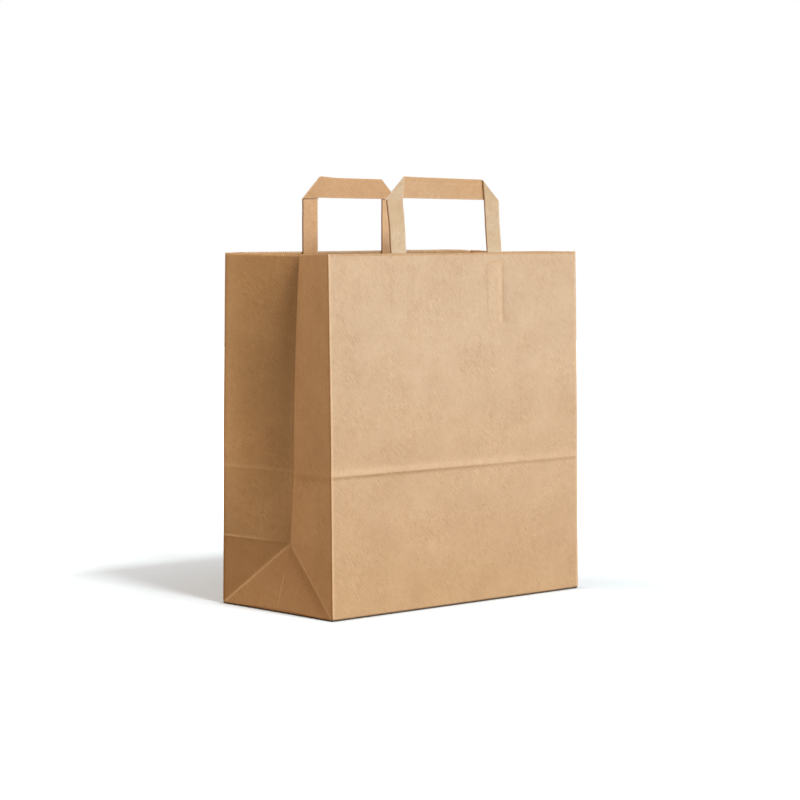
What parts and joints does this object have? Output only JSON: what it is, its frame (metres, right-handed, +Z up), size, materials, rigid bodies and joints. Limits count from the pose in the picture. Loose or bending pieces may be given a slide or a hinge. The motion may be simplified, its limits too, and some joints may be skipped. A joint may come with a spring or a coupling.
{
  "type": "paper carrier bag",
  "caption": "Brown kraft paper carrier bag with a block bottom, tucked side gussets and flat folded paper strap handles glued inside the panels.",
  "frame": {"origin": "under the middle of the base, on the surface that the bag stands on", "axes": "+Z up, +X along the wide panels to the right as seen from the front, and the front panel faces -Y"},
  "size_m": [0.32, 0.158, 0.4019],
  "materials": {
    "kraft_paper": "uncoated brown kraft paper, matt, with fine fibres and soft creases",
    "strap_paper": "folded brown kraft paper strap, matt",
    "patch_paper": "uncoated brown kraft paper, matt, glued"
  },
  "bodies": {
    "root": {"bag_body": "kraft_paper", "front_handle": "strap_paper", "rear_handle": "strap_paper", "front_handle_patch": "patch_paper", "rear_handle_patch": "patch_paper"}
  },
  "joints": []
}
